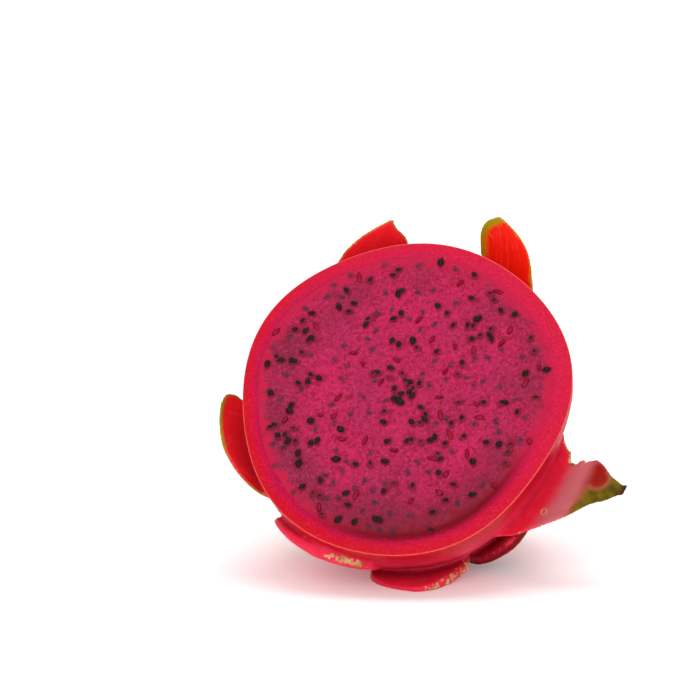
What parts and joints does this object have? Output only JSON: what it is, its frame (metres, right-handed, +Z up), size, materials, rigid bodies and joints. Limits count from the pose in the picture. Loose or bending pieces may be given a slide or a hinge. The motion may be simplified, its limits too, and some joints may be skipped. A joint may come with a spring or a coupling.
{
  "type": "dragon fruit half",
  "caption": "Stem-end half of a red-fleshed dragon fruit, cut across, lying on its round side with the cut face leaning back and leafy scales flaring round it.",
  "frame": {"origin": "centre of the small flattened spot on the fruit's round side that it rests on, with the surface at z = 0", "axes": "+Z up, away from the surface it rests on; the cut face looks towards -Y, leaning back 30 degrees and turned 5 degrees towards -X; +X to the right as seen facing the cut"},
  "size_m": [0.1103, 0.0874, 0.0954],
  "materials": {
    "peel": "satin",
    "scale": "satin",
    "stem_scale": "satin",
    "flesh": "gloss",
    "seed": "gloss",
    "stalk": "matte"
  },
  "bodies": {
    "root": {"peel": "peel", "flesh": "flesh", "stem_stub": "stalk", "scale_top_left": "scale", "scale_top_right": "scale", "scale_left": "scale", "scale_lower_left": "scale", "scale_bottom": "scale", "scale_right": "scale", "scale_upper": "scale", "scale_upper_left": "scale", "scale_upper_right": "scale", "scale_lower_right": "scale", "scale_rear_left": "scale", "scale_rear_top": "scale", "scale_rear_right": "scale", "stem_scale_1": "stem_scale", "stem_scale_2": "stem_scale", "stem_scale_3": "stem_scale", "stem_scale_4": "stem_scale", "stem_scale_5": "stem_scale"}
  },
  "joints": []
}
